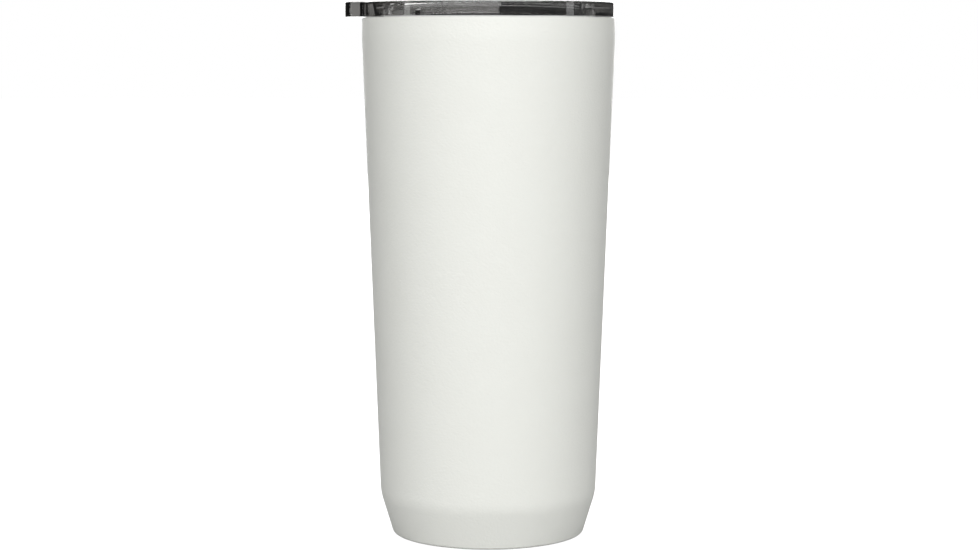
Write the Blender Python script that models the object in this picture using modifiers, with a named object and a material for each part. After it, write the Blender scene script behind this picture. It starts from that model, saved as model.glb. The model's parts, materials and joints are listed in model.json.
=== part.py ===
"""Insulated tumbler with a press-in lid and a slider that opens a sip slot, then a straw hole.

Run it with: blender --background --python part.py
The tumbler stands on the XY plane with its axis on +Z. The lid's thumb tab points along -X,
and the drinking opening lies towards +X. Every length is in metres.

Where two pieces would touch, they keep a gap of GAP.
"""

import math

import bmesh
import bpy
import numpy as np

MM = 0.001
GAP = 0.3 * MM

# ---- Driving dimensions of the cup ----
LIP_Z = 179.3 * MM  # top of the rolled steel lip
SHOULDER_RADIUS = 43.5 * MM
SHOULDER_Z = 172.8 * MM
SHOULDER_BLEND = 60 * MM
LIP_RADIUS = 43.3 * MM
LIP_BLEND = 0.6 * MM
KNEE_RADIUS = 37.5 * MM  # where the long taper turns into the short base taper
KNEE_Z = 14.6 * MM
KNEE_BLEND = 17.5 * MM
FOOT_RADIUS = 33.2 * MM
FOOT_BLEND = 1.3 * MM
FOOT_Z = 0.5 * MM  # the silicone pad stands this far below the steel
SEAM_RADIUS = 42.0 * MM  # weld between the outer shell and the liner, on top of the lip
BASE_HOLE_RADIUS = 30.6 * MM  # opening inside the shell's turned-in foot

SHELL_WALL = 0.5 * MM
LINER_WALL = 0.4 * MM
PLATE_WALL = 0.5 * MM
FOIL_WALL = 0.1 * MM
FOIL_HIGH_Z = 166 * MM
FOIL_LOW_Z = 24 * MM

MOUTH_RADIUS = 38.9 * MM
MOUTH_Z = 177.4 * MM
MOUTH_BLEND = 1.5 * MM
LINER_SLOPE = 0.0376  # radius lost for each unit of depth
LINER_SEAM_Z = 18.0 * MM
LINER_FLOOR_Z = 9.0 * MM
LINER_FLOOR_BLEND = 8.0 * MM

# ---- Driving dimensions of the lid ----
LID_TOP_Z = 184.5 * MM
FLANGE_Z = LIP_Z + GAP
FLANGE_RADIUS = SHOULDER_RADIUS
FLANGE_EDGE = 0.4 * MM
TAB_REACH = 48.9 * MM
TAB_HALF_WIDTH = 10.5 * MM
TAB_CORNER = 4.6 * MM
TAB_ROOT_BLEND = 2.5 * MM
TAB_ROOT_STEPS = 4
TAB_ROOT_X = 40.5 * MM  # the tab's inner end, inside the flange
TAB_MEETING_ANGLE = math.radians(25)
TAB_INSET = 0.1 * MM  # each face of the tab is this far inside the flange's

PLUG_RADIUS = 37.9 * MM
PLUG_BOTTOM_Z = 166.8 * MM
PLUG_LEAD_IN = 1.0 * MM
PLUG_HOLLOW_RADIUS = 34.4 * MM
GROOVE_RADIUS = 36.3 * MM
GROOVE_LOW_Z = 171.6 * MM
GROOVE_HIGH_Z = 176.0 * MM
DECK_Z = 177.2 * MM
DECK_UNDER_Z = 175.0 * MM
DISH_RADIUS = 36.2 * MM
DISH_MOUTH_RADIUS = 38.0 * MM
DISH_BLEND = 2.2 * MM
DISH_RIM = 1.1 * MM
HOLLOW_BLEND = 1.5 * MM

GASKET_RADIUS = 38.4 * MM
GASKET_SETBACK = 0.1 * MM
FIN_WIDTH = 1.3 * MM

SIP_X = 27.3 * MM
SIP_LENGTH = 5.8 * MM
SIP_WIDTH = 15.0 * MM
SIP_BLEND = 2.4 * MM
STRAW_X = 12.5 * MM
STRAW_RADIUS = 4.3 * MM
VENT_X = -31.0 * MM
VENT_RADIUS = 0.8 * MM

RAIL_INSIDE_Y = 11.3 * MM
RAIL_WIDTH = 2.0 * MM
RAIL_LIP = 1.0 * MM
RAIL_LIP_Z = 179.8 * MM
RAIL_TOP_Z = 180.8 * MM
RAIL_BACK_X = -28.0 * MM
RAIL_FRONT_X = 30.0 * MM
STOP_WIDTH = 1.6 * MM
STOP_TOP_Z = 178.8 * MM
FRONT_STOP_HALF_LENGTH = 5.0 * MM
ROOT = 0.3 * MM  # how far a raised feature sinks into the deck that carries it

# ---- Driving dimensions of the slider ----
SLIDER_TRAVEL = 26.0 * MM
SLIDER_BACK_X = 3.5 * MM
SLIDER_FRONT_RADIUS = 33.2 * MM
SLIDER_HALF_WIDTH = RAIL_INSIDE_Y - GAP
SLIDER_LOW_Z = DECK_Z + GAP
TONGUE_TOP_Z = RAIL_LIP_Z - GAP
SLIDER_TOP_Z = 181.8 * MM
SLIDER_FRONT_STEPS = 8
SLIDER_CORNER = 2.0 * MM
SLIDER_EDGE = 0.5 * MM
BODY_INSET = 0.6 * MM
GRIP_X = 12.0 * MM
GRIP_LENGTH = 8.0 * MM
GRIP_WIDTH = 14.0 * MM
GRIP_CORNER = 2.5 * MM
GRIP_TOP_Z = 184.0 * MM
SEAL_INSET = 1.3 * MM
SEAL_POCKET = 1.0 * MM
SEAL_THICKNESS = 0.75 * MM

# ---- Base pieces ----
PLATE_FIT = 0.35 * MM  # clearance to the shell
PLATE_RIM_Z = 6.0 * MM
PLATE_EDGE_Z = 2.5 * MM
PLATE_CENTRE_Z = 4.3 * MM
PLATE_EDGE_BLEND = 1.0 * MM
PLATE_STEP_RADIUS = 24.0 * MM
PLATE_STEP_RUN = 3.0 * MM
DIMPLE_RADIUS = 4.6 * MM
DIMPLE_RUN = 0.8 * MM
DIMPLE_Z = 5.3 * MM
PORT_RADIUS = 0.6 * MM
BEAD_RADIUS = 3.0 * MM
BEAD_THICKNESS = 1.0 * MM
BEAD_EDGE = 0.3 * MM
COVER_RADIUS = 32.2 * MM
COVER_WALL = 0.5 * MM
PAD_RADIUS = BASE_HOLE_RADIUS - GAP
PAD_TOP_Z = 1.2 * MM
PAD_EDGE = 0.35 * MM
GETTER_X = 13.0 * MM
GETTER_RADIUS = 4.0 * MM
GETTER_THICKNESS = 1.2 * MM
GETTER_EDGE = 0.2 * MM
CLIP_WALL = 0.3 * MM
CLIP_WIDTH = 4.0 * MM
CLIP_HALF_LENGTH = 7.5 * MM

SIDES = 48  # facets around the larger turned pieces
HIDDEN_SIDES = 32
SMALL_SIDES = 24
ARC_STEP = math.radians(30)


# ---------------------------------------------------------------- outlines


def rounded(corners, closed=False):
    """Points along straight runs between corners, each an (x, y) or an (x, y, blend radius)."""
    points = []
    count = len(corners)
    for index, corner in enumerate(corners):
        here = np.array(corner[:2])
        radius = corner[2] if len(corner) == 3 else 0
        if radius == 0 or (not closed and index in (0, count - 1)):
            points.append(tuple(here))
            continue
        back = np.array(corners[index - 1][:2]) - here
        ahead = np.array(corners[(index + 1) % count][:2]) - here
        back /= np.linalg.norm(back)
        ahead /= np.linalg.norm(ahead)
        opening = math.acos(np.clip(back @ ahead, -1, 1))
        middle = (back + ahead) / np.linalg.norm(back + ahead)
        centre = here + middle * radius / math.sin(opening / 2)
        start = here + back * radius / math.tan(opening / 2) - centre
        end = here + ahead * radius / math.tan(opening / 2) - centre
        turn = math.pi - opening
        steps = max(2, math.ceil(turn / ARC_STEP))
        for step in range(steps + 1):
            share = step / steps
            spoke = start * math.sin((1 - share) * turn) + end * math.sin(share * turn)
            points.append(tuple(centre + spoke / math.sin(turn)))
    return points


def offset(path, distance):
    """The path moved sideways by distance, to the left of its direction of travel."""
    path = np.array(path)
    runs = np.diff(path, axis=0)
    runs /= np.linalg.norm(runs, axis=1)[:, None]
    normals = np.stack([-runs[:, 1], runs[:, 0]], axis=1)
    before = np.vstack([normals[:1], normals])
    after = np.vstack([normals, normals[-1:]])
    miter = before + after
    miter /= (1 + (before * after).sum(axis=1))[:, None]
    return [tuple(point) for point in path + distance * miter]


def sheet(path, thickness):
    """Profile of a pressed sheet: path runs down one face, with the metal to its left if thickness
    is positive. A path that ends on the axis gives an open profile, and any other a closed one."""
    other = offset(path, thickness)
    outer, inner = (other, path) if thickness > 0 else (path, other)
    if path[-1][0] == 0:
        inner[-1] = (0, inner[-1][1])
        outer[-1] = (0, outer[-1][1])
        return inner[::-1] + outer, False
    return outer + inner[::-1], True


def shell_radius(z):
    """Outer radius of the shell's short base taper at height z."""
    return FOOT_RADIUS + (KNEE_RADIUS - FOOT_RADIUS) * (z - FOOT_Z) / (KNEE_Z - FOOT_Z)


def liner_radius(z):
    """Inner radius of the liner's wall at height z."""
    return MOUTH_RADIUS - (MOUTH_Z - z) * LINER_SLOPE


# ---------------------------------------------------------------- objects


def new_collection(name, hidden):
    collection = bpy.data.collections.new(name)
    bpy.context.scene.collection.children.link(collection)
    collection.hide_render = hidden
    return collection


def add_object(name, data, collection):
    obj = bpy.data.objects.new(name, data)
    collection.objects.link(obj)
    return obj


def joint_empty(name, height, collection):
    """An empty on a joint's axis, for the pieces that move with it."""
    empty = add_object(name, None, collection)
    empty.empty_display_size = 10 * MM
    empty.location.z = height
    return empty


def attach(obj, parent):
    """Makes obj follow parent. Neither moves, because both are placed where they are in the world."""
    obj.parent = parent
    obj.matrix_parent_inverse = parent.matrix_basis.inverted()


def turned(name, profile, closed, collection, sides):
    """A solid of revolution about Z, from a profile of (radius, z) that runs down its outer side."""
    count = len(profile)
    edges = [(i, (i + 1) % count) for i in range(count if closed else count - 1)]
    mesh = bpy.data.meshes.new(name)
    mesh.from_pydata([(radius, 0, z) for radius, z in profile], edges, [])
    obj = add_object(name, mesh, collection)
    screw = obj.modifiers.new("Turn", "SCREW")
    screw.axis = "Z"
    screw.steps = sides
    screw.render_steps = sides
    screw.use_merge_vertices = True
    screw.merge_threshold = 0.00001
    return obj


def plate(name, outline, low, high, collection):
    """A flat plate between two heights, from a 2D curve that is extruded and made a mesh."""
    curve = bpy.data.curves.new(name, "CURVE")
    curve.dimensions = "2D"
    curve.fill_mode = "BOTH"
    curve.extrude = (high - low) / 2
    spline = curve.splines.new("POLY")
    spline.points.add(len(outline) - 1)
    for point, (x, y) in zip(spline.points, outline):
        point.co = (x, y, 0, 1)
    spline.use_cyclic_u = True
    guide = add_object(name + "_outline", curve, collection)
    bpy.context.view_layer.update()
    evaluated = guide.evaluated_get(bpy.context.evaluated_depsgraph_get())
    mesh = bpy.data.meshes.new_from_object(evaluated)
    bpy.data.objects.remove(guide)
    cleaned = bmesh.new()
    cleaned.from_mesh(mesh)
    bmesh.ops.remove_doubles(cleaned, verts=cleaned.verts, dist=0.000001)
    bmesh.ops.recalc_face_normals(cleaned, faces=cleaned.faces)
    cleaned.to_mesh(mesh)
    cleaned.free()
    obj = add_object(name, mesh, collection)
    obj.location.z = (low + high) / 2
    return obj


def cylinder(name, x, radius, low, high, collection):
    """An upright cylinder."""
    mesh = bpy.data.meshes.new(name)
    shape = bmesh.new()
    bmesh.ops.create_cone(
        shape,
        cap_ends=True,
        segments=SMALL_SIDES,
        radius1=radius,
        radius2=radius,
        depth=high - low,
    )
    shape.to_mesh(mesh)
    shape.free()
    obj = add_object(name, mesh, collection)
    obj.location = (x, 0, (low + high) / 2)
    return obj


def bevel(obj, width, segments=2):
    modifier = obj.modifiers.new("Rounded edges", "BEVEL")
    modifier.width = width
    modifier.segments = segments
    modifier.limit_method = "ANGLE"
    modifier.angle_limit = math.radians(50)


def combine(obj, operation, other):
    """Adds a Boolean to obj. The other shape follows obj, and isn't part of the model."""
    modifier = obj.modifiers.new(other.name, "BOOLEAN")
    modifier.operation = operation
    modifier.solver = "EXACT"
    modifier.object = other
    attach(other, obj)
    other.hide_render = True
    other.display_type = "WIRE"


def finish(obj, colour, roughness, metallic, alpha=1.0):
    """Gives obj a material of its own and smooth round faces."""
    material = bpy.data.materials.new(obj.name)
    material.use_nodes = True
    shader = material.node_tree.nodes["Principled BSDF"]
    shader.inputs["Base Color"].default_value = (*colour, 1)
    shader.inputs["Roughness"].default_value = roughness
    shader.inputs["Metallic"].default_value = metallic
    shader.inputs["Alpha"].default_value = alpha
    obj.data.materials.append(material)
    smooth = obj.modifiers.get("Turn")
    if smooth:
        smooth.use_smooth_shade = True
    return obj


def steel(obj):
    return finish(obj, (0.62, 0.61, 0.59), 0.32, 1.0)


# ---------------------------------------------------------------- cup


def make_outer_shell(parts):
    path = rounded(
        [
            (SEAM_RADIUS, LIP_Z),
            (LIP_RADIUS, LIP_Z, LIP_BLEND),
            (SHOULDER_RADIUS, SHOULDER_Z, SHOULDER_BLEND),
            (KNEE_RADIUS, KNEE_Z, KNEE_BLEND),
            (FOOT_RADIUS, FOOT_Z, FOOT_BLEND),
            (BASE_HOLE_RADIUS, FOOT_Z),
        ]
    )
    shell = turned("outer_shell", *sheet(path, -SHELL_WALL), parts, SIDES)
    finish(shell, (0.80, 0.81, 0.77), 0.5, 0.0)


def make_liner(parts):
    wall = rounded(
        [
            (SEAM_RADIUS - GAP, LIP_Z),
            (liner_radius(LIP_Z), LIP_Z, MOUTH_BLEND),
            (liner_radius(LINER_SEAM_Z), LINER_SEAM_Z),
        ]
    )
    steel(turned("inner_liner", *sheet(wall, LINER_WALL), parts, SIDES))
    top = LINER_SEAM_Z - GAP
    floor = rounded(
        [
            (liner_radius(top), top),
            (liner_radius(LINER_FLOOR_Z), LINER_FLOOR_Z, LINER_FLOOR_BLEND),
            (0, LINER_FLOOR_Z),
        ]
    )
    steel(turned("liner_bottom", *sheet(floor, LINER_WALL), parts, SIDES))


def make_foil(parts):
    """Reflective wrap around the liner, inside the vacuum."""
    reach = LINER_WALL + GAP + FOIL_WALL
    path = [(liner_radius(z) + reach, z) for z in (FOIL_HIGH_Z, FOIL_LOW_Z)]
    foil = turned("reflective_foil", *sheet(path, -FOIL_WALL), parts, HIDDEN_SIDES)
    finish(foil, (0.77, 0.78, 0.78), 0.2, 1.0)


def make_vacuum_plate(parts):
    """Middle bottom, pressed up at its centre, with the port that the air is drawn through."""
    inside = SHELL_WALL + PLATE_FIT
    path = rounded(
        [
            (shell_radius(PLATE_RIM_Z) - inside, PLATE_RIM_Z),
            (shell_radius(PLATE_EDGE_Z) - inside, PLATE_EDGE_Z, PLATE_EDGE_BLEND),
            (PLATE_STEP_RADIUS, PLATE_EDGE_Z),
            (PLATE_STEP_RADIUS - PLATE_STEP_RUN, PLATE_CENTRE_Z),
            (DIMPLE_RADIUS, PLATE_CENTRE_Z),
            (DIMPLE_RADIUS - DIMPLE_RUN, DIMPLE_Z),
            (PORT_RADIUS, DIMPLE_Z),
        ]
    )
    steel(turned("vacuum_plate", *sheet(path, -PLATE_WALL), parts, HIDDEN_SIDES))


def make_vacuum_seal(parts):
    """Glass bead that closes the pump-out port."""
    top = DIMPLE_Z - GAP
    profile = rounded(
        [
            (0, top),
            (BEAD_RADIUS, top, BEAD_EDGE),
            (0.8 * BEAD_RADIUS, top - 0.7 * BEAD_THICKNESS),
            (0, top - BEAD_THICKNESS),
        ]
    )
    bead = turned("vacuum_seal", profile, False, parts, SMALL_SIDES)
    finish(bead, (0.16, 0.20, 0.17), 0.2, 0.0)


def make_getter(parts):
    """Gas-absorbing pellet on the vacuum plate, and the strap that holds it."""
    low = PLATE_CENTRE_Z + PLATE_WALL + GAP
    top = low + GETTER_THICKNESS
    pellet = cylinder("getter_pellet", GETTER_X, GETTER_RADIUS, low, top, parts)
    bevel(pellet, GETTER_EDGE)
    finish(pellet, (0.30, 0.29, 0.28), 0.8, 0.6)
    foot = CLIP_HALF_LENGTH
    step = GETTER_RADIUS + GAP
    path = rounded(
        [
            (-foot, low),
            (-step - CLIP_WALL, low, CLIP_WALL),
            (-step, top + GAP, CLIP_WALL),
            (step, top + GAP, CLIP_WALL),
            (step + CLIP_WALL, low, CLIP_WALL),
            (foot, low),
        ]
    )
    outline = path + offset(path, CLIP_WALL)[::-1]
    clip = plate("getter_clip", outline, -CLIP_WIDTH / 2, CLIP_WIDTH / 2, parts)
    clip.rotation_euler = (math.pi / 2, 0, math.pi / 2)
    clip.location = (GETTER_X, 0, 0)
    steel(clip)


def make_base_cover(parts):
    low = FOOT_Z + SHELL_WALL + GAP
    profile = [(0, low + COVER_WALL), (COVER_RADIUS, low + COVER_WALL), (COVER_RADIUS, low), (0, low)]
    steel(turned("base_cover", profile, False, parts, HIDDEN_SIDES))


def make_base_pad(parts):
    profile = rounded([(0, PAD_TOP_Z), (PAD_RADIUS, PAD_TOP_Z), (PAD_RADIUS, 0, PAD_EDGE), (0, 0)])
    pad = turned("base_pad", profile, False, parts, SIDES)
    finish(pad, (0.42, 0.43, 0.42), 0.7, 0.0)


# ---------------------------------------------------------------- lid


def lid_profile():
    """Half section of the lid: deck, dish, flange, and the plug with its gasket groove."""
    return rounded(
        [
            (0, DECK_Z),
            (DISH_RADIUS, DECK_Z, DISH_BLEND),
            (DISH_MOUTH_RADIUS, LID_TOP_Z, DISH_RIM),
            (FLANGE_RADIUS, LID_TOP_Z, FLANGE_EDGE),
            (FLANGE_RADIUS, FLANGE_Z, FLANGE_EDGE),
            (PLUG_RADIUS, FLANGE_Z),
            (PLUG_RADIUS, GROOVE_HIGH_Z),
            (GROOVE_RADIUS, GROOVE_HIGH_Z),
            (GROOVE_RADIUS, GROOVE_LOW_Z),
            (PLUG_RADIUS, GROOVE_LOW_Z),
            (PLUG_RADIUS, PLUG_BOTTOM_Z + 2 * PLUG_LEAD_IN),
            (PLUG_RADIUS - PLUG_LEAD_IN, PLUG_BOTTOM_Z),
            (PLUG_HOLLOW_RADIUS, PLUG_BOTTOM_Z),
            (PLUG_HOLLOW_RADIUS, DECK_UNDER_Z, HOLLOW_BLEND),
            (0, DECK_UNDER_Z),
        ]
    )


def tab_outline():
    """Plan of the thumb tab on -X. Hollow curves lead it into the flange, which it ends inside."""
    reach = FLANGE_RADIUS + TAB_ROOT_BLEND
    blend_y = TAB_HALF_WIDTH + TAB_ROOT_BLEND
    centre_turn = math.asin(blend_y / reach)
    blend_x = -reach * math.cos(centre_turn)
    last_turn = -centre_turn - TAB_MEETING_ANGLE
    hollow = []
    for step in range(TAB_ROOT_STEPS + 1):
        turn = -math.pi / 2 + (last_turn + math.pi / 2) * step / TAB_ROOT_STEPS
        x = blend_x + TAB_ROOT_BLEND * math.cos(turn)
        hollow.append((x, blend_y + TAB_ROOT_BLEND * math.sin(turn)))
    inner = (-TAB_ROOT_X, hollow[-1][1] + MM)
    corner = rounded([hollow[0], (-TAB_REACH, TAB_HALF_WIDTH, TAB_CORNER), (-TAB_REACH, 0)])[1:-1]
    upper = [inner] + hollow[::-1] + corner
    return upper + [(x, -y) for x, y in reversed(upper)]


def make_tab(helpers):
    low = FLANGE_Z + TAB_INSET
    high = LID_TOP_Z - TAB_INSET
    tab = plate("thumb_tab", tab_outline(), low, high, helpers)
    bevel(tab, FLANGE_EDGE)
    return tab


def make_rail(name, side, helpers):
    """One of the two guides on the deck, with a lip over the slider's tongue."""
    inside = side * RAIL_INSIDE_Y
    outside = side * (RAIL_INSIDE_Y + RAIL_WIDTH)
    lip = side * (RAIL_INSIDE_Y - RAIL_LIP)
    section = [
        (inside, DECK_Z - ROOT),
        (outside, DECK_Z - ROOT),
        (outside, RAIL_TOP_Z),
        (lip, RAIL_TOP_Z),
        (lip, RAIL_LIP_Z),
        (inside, RAIL_LIP_Z),
    ]
    half_length = (RAIL_FRONT_X - RAIL_BACK_X) / 2
    guide = plate(name, section, -half_length, half_length, helpers)
    guide.rotation_euler = (math.pi / 2, 0, math.pi / 2)
    guide.location = (RAIL_BACK_X + half_length, 0, 0)
    return guide


def rectangle(low_x, high_x, half_width, blend=0):
    corners = [(low_x, -half_width), (high_x, -half_width), (high_x, half_width), (low_x, half_width)]
    return rounded([(x, y, blend) for x, y in corners], closed=True)


def make_stop(name, low_x, high_x, half_length, helpers):
    """A rib across the deck that ends the slider's travel."""
    outline = rectangle(low_x, high_x, half_length)
    return plate(name, outline, DECK_Z - 2 * ROOT, STOP_TOP_Z, helpers)


def make_lid_body(parts, helpers):
    lid = turned("lid_body", lid_profile(), False, parts, SIDES)
    combine(lid, "UNION", make_tab(helpers))
    for name, side in (("rail_left", 1), ("rail_right", -1)):
        combine(lid, "UNION", make_rail(name, side, helpers))
    back = SLIDER_BACK_X - SLIDER_TRAVEL - GAP
    front = SLIDER_FRONT_RADIUS + GAP
    stops = (
        ("back_stop", back - STOP_WIDTH, back, RAIL_INSIDE_Y + RAIL_WIDTH / 2),
        ("front_stop", front, DISH_RADIUS + ROOT, FRONT_STOP_HALF_LENGTH),
    )
    for name, low_x, high_x, half_length in stops:
        combine(lid, "UNION", make_stop(name, low_x, high_x, half_length, helpers))
    low = DECK_UNDER_Z - MM
    high = DECK_Z + MM
    half_slot = SIP_LENGTH / 2
    slot = rectangle(SIP_X - half_slot, SIP_X + half_slot, SIP_WIDTH / 2, SIP_BLEND)
    combine(lid, "DIFFERENCE", plate("sip_opening", slot, low, high, helpers))
    for name, x, radius in (("straw_opening", STRAW_X, STRAW_RADIUS), ("vent", VENT_X, VENT_RADIUS)):
        combine(lid, "DIFFERENCE", cylinder(name, x, radius, low, high, helpers))
    return finish(lid, (0.10, 0.10, 0.105), 0.08, 0.0, alpha=0.6)


def make_lid_gasket(parts):
    """Silicone ring in the plug's groove, with two fins that wipe the liner."""
    back = GROOVE_RADIUS + GAP
    front = PLUG_RADIUS - GASKET_SETBACK
    low = GROOVE_LOW_Z + GAP
    high = GROOVE_HIGH_Z - GAP
    profile = [
        (back, high),
        (front, high),
        (GASKET_RADIUS, high - 0.4 * FIN_WIDTH),
        (GASKET_RADIUS, high - 0.7 * FIN_WIDTH),
        (front, high - FIN_WIDTH),
        (front, low + FIN_WIDTH),
        (GASKET_RADIUS, low + 0.7 * FIN_WIDTH),
        (GASKET_RADIUS, low + 0.4 * FIN_WIDTH),
        (front, low),
        (back, low),
    ]
    gasket = turned("lid_gasket", profile, True, parts, SIDES)
    return finish(gasket, (0.05, 0.05, 0.055), 0.6, 0.0)


# ---------------------------------------------------------------- slider


def slider_outline(inset, half_width):
    """Plan of the slider: square at the back, and curved with the dish at the front."""
    radius = SLIDER_FRONT_RADIUS - inset
    swing = math.asin(half_width / radius)
    front = []
    for step in range(SLIDER_FRONT_STEPS + 1):
        turn = swing * (2 * step / SLIDER_FRONT_STEPS - 1)
        front.append((radius * math.cos(turn), radius * math.sin(turn)))
    back_x = SLIDER_BACK_X + inset
    corners = [
        front[-1],
        (back_x, half_width, SLIDER_CORNER),
        (back_x, -half_width, SLIDER_CORNER),
        front[0],
    ]
    return front + rounded(corners)[1:-1]


def make_slider(parts, helpers):
    tongue = slider_outline(0, SLIDER_HALF_WIDTH)
    slider = plate("slider", tongue, SLIDER_LOW_Z, TONGUE_TOP_Z, parts)
    body_plan = slider_outline(BODY_INSET, RAIL_INSIDE_Y - RAIL_LIP - GAP)
    body = plate("slider_body", body_plan, TONGUE_TOP_Z - MM, SLIDER_TOP_Z, helpers)
    bevel(body, SLIDER_EDGE)
    half_grip = GRIP_LENGTH / 2
    grip_plan = rectangle(GRIP_X - half_grip, GRIP_X + half_grip, GRIP_WIDTH / 2, GRIP_CORNER)
    grip = plate("slider_grip", grip_plan, SLIDER_TOP_Z - MM, GRIP_TOP_Z, helpers)
    bevel(grip, SLIDER_EDGE)
    pocket_plan = slider_outline(SEAL_INSET, SLIDER_HALF_WIDTH - SEAL_INSET)
    pocket_top = SLIDER_LOW_Z + SEAL_POCKET
    pocket = plate("seal_pocket", pocket_plan, SLIDER_LOW_Z - MM, pocket_top, helpers)
    combine(slider, "UNION", body)
    combine(slider, "UNION", grip)
    combine(slider, "DIFFERENCE", pocket)
    return finish(slider, (0.03, 0.03, 0.032), 0.35, 0.0)


def make_slider_seal(parts):
    """Silicone pad in the slider's pocket, which covers both openings in the deck."""
    inset = SEAL_INSET + GAP
    top = SLIDER_LOW_Z + SEAL_POCKET - GAP
    plan = slider_outline(inset, SLIDER_HALF_WIDTH - inset)
    seal = plate("slider_seal", plan, top - SEAL_THICKNESS, top, parts)
    return finish(seal, (0.20, 0.20, 0.21), 0.6, 0.0)


def main():
    for obj in list(bpy.data.objects):
        bpy.data.objects.remove(obj)
    parts = new_collection("insulated_tumbler", hidden=False)
    helpers = new_collection("cutters", hidden=True)

    make_outer_shell(parts)
    make_liner(parts)
    make_foil(parts)
    make_vacuum_plate(parts)
    make_vacuum_seal(parts)
    make_getter(parts)
    make_base_cover(parts)
    make_base_pad(parts)

    lid_lift = joint_empty("lid_lift", FLANGE_Z, parts)
    slider_run = joint_empty("slider_run", SLIDER_LOW_Z, parts)
    attach(slider_run, lid_lift)
    for piece in (make_lid_body(parts, helpers), make_lid_gasket(parts)):
        attach(piece, lid_lift)
    for piece in (make_slider(parts, helpers), make_slider_seal(parts)):
        attach(piece, slider_run)


main()
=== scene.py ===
"""Looks of the insulated tumbler with lid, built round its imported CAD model. Lengths are in metres.

Each piece is a finer copy of its CAD node, with the same outline and with the edges, grooves and
seams that the CAD solids leave out. Heights and the main radii come from the frame.
"""

import json
import math

import bmesh
import bpy
import numpy as np
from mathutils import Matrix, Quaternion, Vector


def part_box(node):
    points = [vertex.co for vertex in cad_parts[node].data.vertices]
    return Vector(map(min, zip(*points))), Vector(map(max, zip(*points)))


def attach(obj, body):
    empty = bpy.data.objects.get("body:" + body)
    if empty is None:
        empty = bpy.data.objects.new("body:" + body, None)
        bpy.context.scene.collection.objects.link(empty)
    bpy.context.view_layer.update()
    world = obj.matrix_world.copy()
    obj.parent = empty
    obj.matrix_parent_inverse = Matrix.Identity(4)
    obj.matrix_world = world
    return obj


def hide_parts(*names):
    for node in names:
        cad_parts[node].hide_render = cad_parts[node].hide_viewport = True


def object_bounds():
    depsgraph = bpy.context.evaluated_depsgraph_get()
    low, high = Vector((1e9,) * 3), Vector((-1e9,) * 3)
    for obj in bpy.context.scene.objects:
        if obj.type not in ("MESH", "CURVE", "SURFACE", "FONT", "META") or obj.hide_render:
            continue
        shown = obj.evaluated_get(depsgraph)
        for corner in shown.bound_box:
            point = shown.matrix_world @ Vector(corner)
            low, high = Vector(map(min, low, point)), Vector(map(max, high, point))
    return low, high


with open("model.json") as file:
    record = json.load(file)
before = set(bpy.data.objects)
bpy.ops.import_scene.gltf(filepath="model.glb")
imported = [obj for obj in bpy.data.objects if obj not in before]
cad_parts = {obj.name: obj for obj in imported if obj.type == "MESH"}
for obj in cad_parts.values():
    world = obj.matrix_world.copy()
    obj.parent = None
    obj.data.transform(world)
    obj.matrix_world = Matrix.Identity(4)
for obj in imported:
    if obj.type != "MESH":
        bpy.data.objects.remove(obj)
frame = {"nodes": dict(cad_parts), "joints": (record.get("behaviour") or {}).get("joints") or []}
cad_low, cad_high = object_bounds()

MM = 0.001
GAP = 0.3 * MM  # what the CAD pieces leave between them
AROUND = 288  # facets round a turned piece
FLATNESS = 0.002 * MM  # how far a facet of a blend may cut into its arc
HOLE_FACETS = 64
FINE_FACETS = 96
GROOVE_FACETS = 32
SAME_HEIGHT = 0.02 * MM  # how near in height counts as one ring of a CAD node
POINT_SIZE = 0.001 * MM  # a ring smaller than this is one point on the axis

# ---- Cup ----
SHELL_WALL = 0.5 * MM
LINER_WALL = 0.4 * MM
LIP_RADIUS = 43.3 * MM
LIP_BLEND = 0.6 * MM
SHOULDER_RADIUS = 43.5 * MM
SHOULDER_DROP = 6.5 * MM  # from the lip down to the widest place
SHOULDER_BLEND = 60 * MM
KNEE_RADIUS = 37.5 * MM
KNEE_RISE = 14.1 * MM  # from the foot up to the knee
KNEE_BLEND = 17.5 * MM
FOOT_RADIUS = 33.2 * MM
FOOT_BLEND = 1.3 * MM
SEAM = 0.03 * MM  # what a weld leaves open to the eye
MOUTH_RADIUS = 38.97 * MM
MOUTH_BLEND = 1.5 * MM
FLOOR_BLEND = 8.0 * MM
FLOOR_STEP_RADIUS = 22.0 * MM
FLOOR_STEP_RUN = 1.6 * MM
FLOOR_STEP = 0.5 * MM
FLOOR_STEP_BLEND = 1.0 * MM
PAD_EDGE = 0.35 * MM
PAD_GROOVES = (27.2 * MM, 23.4 * MM, 19.6 * MM)
PAD_GROOVE_WIDTH = 1.3 * MM
PAD_GROOVE_DEPTH = 0.45 * MM
PAD_GROOVE_BLEND = 0.15 * MM
PAD_HOLLOW_RADIUS = 15.0 * MM

# ---- Inside the double wall ----
FOIL_ROWS = 40
FOIL_FACETS = 180
FOIL_CREASE = 0.06 * MM
FOIL_WAVES = ((17, 0.4), (29, -0.7))  # creases round the foil, and radians that they lean each mm up
PLATE_WALL = 0.5 * MM
PLATE_EDGE_BLEND = 1.0 * MM
PLATE_STEP_RADIUS = 24.0 * MM
PLATE_STEP_RUN = 3.0 * MM
PLATE_STEP = 1.8 * MM
PLATE_STEP_BLEND = 2.0 * MM
DIMPLE_RADIUS = 4.6 * MM
DIMPLE_RUN = 0.8 * MM
DIMPLE_BLEND = 0.6 * MM
PORT_RADIUS = 0.6 * MM
BEAD_RADIUS = 3.0 * MM  # where the bead's top and flank would meet
BEAD_BLEND = 0.3 * MM
BEAD_WAIST = 0.8  # of the radius, where the bead's flank turns in to its lowest point
BEAD_WAIST_RISE = 0.3  # of the height
GETTER_EDGE = 0.2 * MM
CLIP_WALL = 0.3 * MM
CLIP_BEND = 0.35 * MM
COVER_EDGE = 0.12 * MM

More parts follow.
